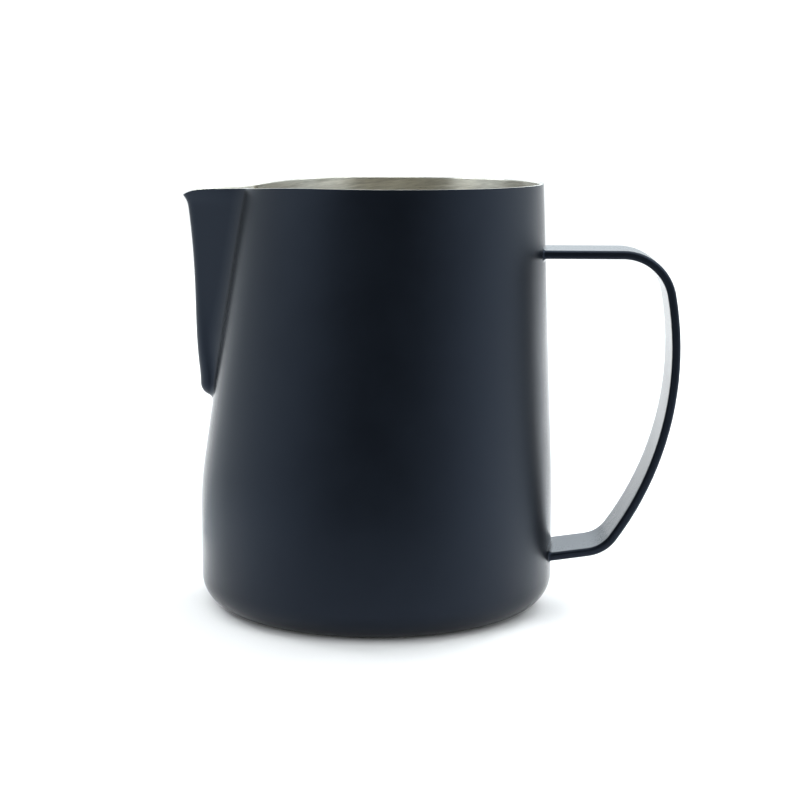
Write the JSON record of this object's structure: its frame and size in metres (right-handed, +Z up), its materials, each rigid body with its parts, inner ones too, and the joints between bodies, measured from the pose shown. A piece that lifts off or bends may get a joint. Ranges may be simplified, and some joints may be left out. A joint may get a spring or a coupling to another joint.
{
  "type": "milk frothing pitcher",
  "caption": "Tapered steel pitcher for frothing and pouring milk, with a narrow V spout, a bent strap handle and a matt black coating outside.",
  "frame": {"origin": "on the resting plane, under the middle of the round base", "axes": "+Z up, +X from the spout towards the handle, the XZ plane is the plane of symmetry"},
  "size_m": [0.1281, 0.092, 0.1095],
  "materials": {
    "bare_steel": "stainless steel, finely brushed round the inside, bare at the mouth's edge and base",
    "black_coating": "smooth matt black baked film with a faint blue cast"
  },
  "bodies": {
    "root": {"body_shell": "bare_steel", "spout": "bare_steel", "spout_seam_weld": "bare_steel", "handle_strap": "bare_steel", "upper_handle_weld": "bare_steel", "lower_handle_weld": "bare_steel", "body_coating": "black_coating", "handle_coating": "black_coating"}
  },
  "joints": []
}
